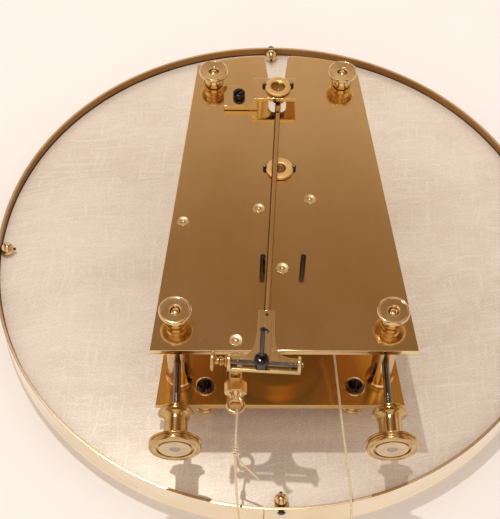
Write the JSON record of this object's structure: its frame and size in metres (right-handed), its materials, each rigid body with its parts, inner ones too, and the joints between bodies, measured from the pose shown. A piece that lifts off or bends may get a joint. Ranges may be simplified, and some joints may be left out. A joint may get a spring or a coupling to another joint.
{
  "type": "regulator clock movement",
  "caption": "Weight-driven regulator clock movement on its dial: tapered brass plates, going train, dead-beat escapement, crutch with beat adjuster, bezel and line.",
  "frame": {"origin": "dial axis at the front edge of the bezel, the face the movement lies on", "axes": "+Z from the dial towards the back plate, +Y towards twelve o'clock, +X to the right as seen from the back"},
  "size_m": [0.2222, 0.2571, 0.089],
  "materials": {
    "brass": "polished",
    "dial_silver": "silvered and brushed",
    "steel": "polished",
    "blued_steel": "heat blued and polished",
    "gut": "smooth"
  },
  "bodies": {
    "frame": {"bezel": "brass", "dial": "dial_silver", "rim_post_12": "brass", "rim_post_3": "brass", "rim_post_6": "brass", "rim_post_9": "brass", "front_plate": "brass", "back_plate": "brass", "pillar_lower_left": "brass", "pillar_lower_right": "brass", "pillar_upper_left": "brass", "pillar_upper_right": "brass", "pillar_nut_lower_left": "brass", "pillar_nut_lower_right": "brass", "pillar_nut_upper_left": "brass", "pillar_nut_upper_right": "brass", "dial_foot_left": "brass", "dial_foot_right": "brass", "dial_foot_top": "brass", "foot_screw_left": "blued_steel", "foot_screw_right": "blued_steel", "foot_screw_top": "blued_steel", "pallet_cock": "brass", "cock_screw": "blued_steel", "pallet_bush": "brass", "escape_bush": "brass", "banking_pin_left": "blued_steel", "banking_pin_right": "blued_steel", "hook_post": "brass", "minute_stud": "steel", "line_from_barrel": "gut", "line_coil": "gut", "line_to_hook": "gut"},
    "centre": {"centre_arbor": "steel", "centre_wheel": "brass", "motion_driver": "brass"},
    "great": {"great_wheel": "brass"},
    "drum": {"barrel": "brass", "barrel_arbor": "steel"},
    "third": {"third_arbor": "steel", "third_wheel": "brass"},
    "escape": {"escape_arbor": "steel", "escape_wheel": "brass", "seconds_hand": "blued_steel"},
    "cannon": {"cannon_wheel": "brass", "minute_hand": "blued_steel"},
    "minute": {"minute_wheel": "brass"},
    "hour": {"hour_wheel": "brass", "hour_hand": "blued_steel"},
    "pallets": {"pallets": "steel", "crutch": "brass"},
    "crutch_pin": {"crutch_pin": "blued_steel"},
    "beat_screw": {"beat_screw": "steel", "beat_knob": "brass"},
    "detent": {"detent": "steel"},
    "line_hook": {"line_hook": "brass"},
    "seat_left": {"seat_screw_left": "steel", "seat_knob_left": "brass"},
    "seat_right": {"seat_screw_right": "steel", "seat_knob_right": "brass"}
  },
  "joints": [
    {"name": "centre_turn", "type": "hinge", "parent": "frame", "child": "centre", "pos_m": [-0.0078, -0.0165, 0.042], "axis": [0, 0, 1], "continuous": true},
    {"name": "great_turn", "type": "hinge", "parent": "frame", "child": "great", "pos_m": [0, -0.0421, 0.0548], "axis": [0, 0, 1], "continuous": true},
    {"name": "winding", "type": "hinge", "parent": "great", "child": "drum", "pos_m": [0, -0.0421, 0.0456], "axis": [0, 0, 1], "continuous": true},
    {"name": "third_turn", "type": "hinge", "parent": "frame", "child": "third", "pos_m": [0.0105, -0.0123, 0.042], "axis": [0, 0, 1], "continuous": true},
    {"name": "escape_turn", "type": "hinge", "parent": "frame", "child": "escape", "pos_m": [0, 0, 0.041], "axis": [0, 0, 1], "continuous": true},
    {"name": "cannon_turn", "type": "hinge", "parent": "frame", "child": "cannon", "pos_m": [0, 0, 0.0185], "axis": [0, 0, 1], "continuous": true},
    {"name": "minute_turn", "type": "hinge", "parent": "frame", "child": "minute", "pos_m": [-0.01534, -0.00284, 0.0185], "axis": [0, 0, 1], "continuous": true},
    {"name": "hour_turn", "type": "hinge", "parent": "frame", "child": "hour", "pos_m": [0, 0, 0.0142], "axis": [0, 0, 1], "continuous": true},
    {"name": "pallet_swing", "type": "hinge", "parent": "frame", "child": "pallets", "pos_m": [0, 0.0336, 0.041], "axis": [0, 0, 1], "range_deg": [-0.3, 7.1]},
    {"name": "beat_turn", "type": "hinge", "parent": "pallets", "child": "beat_screw", "pos_m": [-0.00689, -0.0824, 0.0675], "axis": [0.9982, -0.0593, 0], "continuous": true},
    {"name": "pin_shift", "type": "slide", "parent": "pallets", "child": "crutch_pin", "axis": [0.9982, -0.0593, 0], "range_m": [-0.002, 0.002]},
    {"name": "detent_lift", "type": "hinge", "parent": "frame", "child": "detent", "pos_m": [-0.0345, -0.0223, 0.0528], "axis": [0, 0, 1], "range_deg": [0, 12]},
    {"name": "hook_swivel", "type": "hinge", "parent": "frame", "child": "line_hook", "pos_m": [-0.0159, -0.0752, 0.0405], "axis": [0, 1, 0], "continuous": true},
    {"name": "seat_left_turn", "type": "hinge", "parent": "frame", "child": "seat_left", "pos_m": [-0.0359, -0.09, 0.041], "axis": [0, 1, 0], "continuous": true},
    {"name": "seat_right_turn", "type": "hinge", "parent": "frame", "child": "seat_right", "pos_m": [0.0359, -0.09, 0.041], "axis": [0, 1, 0], "continuous": true}
  ],
  "couplings": [
    {"joint": "great_turn", "follows": "centre_turn", "ratio": -0.083333},
    {"joint": "third_turn", "follows": "centre_turn", "ratio": -8},
    {"joint": "escape_turn", "follows": "centre_turn", "ratio": 60},
    {"joint": "minute_turn", "follows": "centre_turn", "ratio": -1},
    {"joint": "cannon_turn", "follows": "centre_turn", "ratio": 1},
    {"joint": "hour_turn", "follows": "centre_turn", "ratio": 0.083333},
    {"joint": "beat_turn", "follows": "pin_shift", "rad_per_m": 12566}
  ]
}
